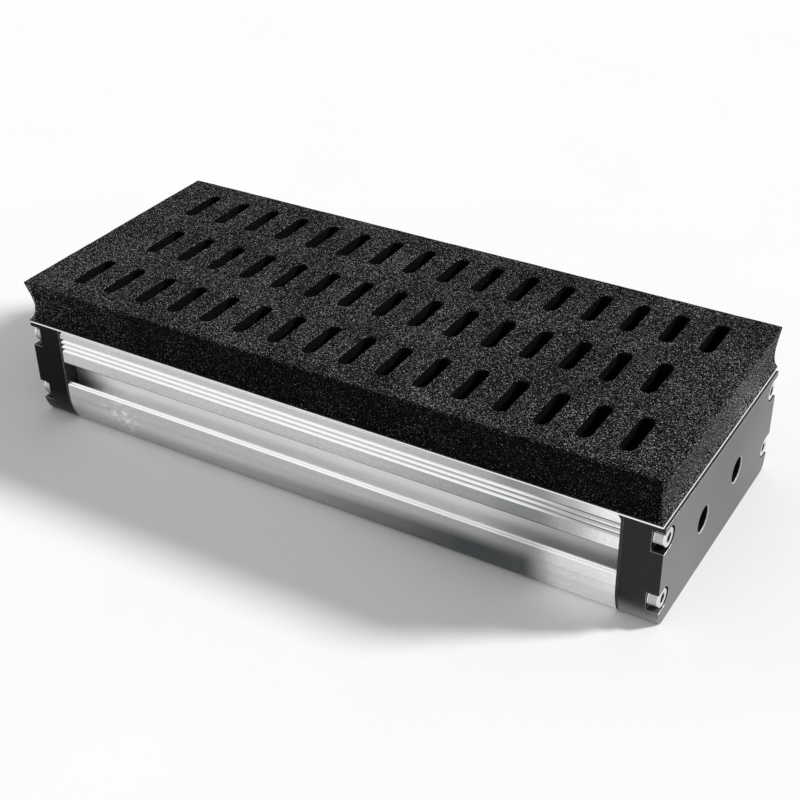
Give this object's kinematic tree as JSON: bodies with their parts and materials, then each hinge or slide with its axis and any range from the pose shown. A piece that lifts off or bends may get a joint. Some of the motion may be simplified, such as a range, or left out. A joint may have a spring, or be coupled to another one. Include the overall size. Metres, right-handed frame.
{
  "type": "vacuum foam gripper",
  "caption": "Foam vacuum gripper: a slotted black foam pad on a hollow silver body with side T-slots, closed by two bolted black end caps.",
  "frame": {"origin": "middle of the underside, under the middle of the box around the whole part", "axes": "+X along the body towards the end cap with the two ports, +Y across the body, +Z from the underside up to the foam"},
  "size_m": [0.316, 0.13, 0.0715],
  "materials": {
    "profile_aluminium": "mill extruded, satin",
    "black_anodised": "black anodised, satin",
    "gasket_rubber": "matt",
    "plate_aluminium": "bright sheet",
    "adhesive_film": "matt",
    "foam": "open fine-pored foam",
    "cap_screw_steel": "bright",
    "plate_screw_steel": "zinc plated"
  },
  "bodies": {
    "root": {"body_profile": "profile_aluminium", "end_cap_left": "black_anodised", "end_cap_right": "black_anodised", "end_gasket_left": "gasket_rubber", "end_gasket_right": "gasket_rubber", "orifice_plate": "plate_aluminium", "adhesive_film": "adhesive_film", "foam_pad": "foam", "cap_screw_1": "cap_screw_steel", "cap_screw_2": "cap_screw_steel", "cap_screw_3": "cap_screw_steel", "cap_screw_4": "cap_screw_steel", "cap_screw_5": "cap_screw_steel", "cap_screw_6": "cap_screw_steel", "cap_screw_7": "cap_screw_steel", "cap_screw_8": "cap_screw_steel", "plate_screw_1": "plate_screw_steel", "plate_screw_2": "plate_screw_steel", "plate_screw_3": "plate_screw_steel", "plate_screw_4": "plate_screw_steel", "plate_screw_5": "plate_screw_steel", "plate_screw_6": "plate_screw_steel", "plate_screw_7": "plate_screw_steel", "plate_screw_8": "plate_screw_steel", "plate_screw_9": "plate_screw_steel", "plate_screw_10": "plate_screw_steel", "plate_screw_11": "plate_screw_steel", "plate_screw_12": "plate_screw_steel"}
  },
  "joints": []
}
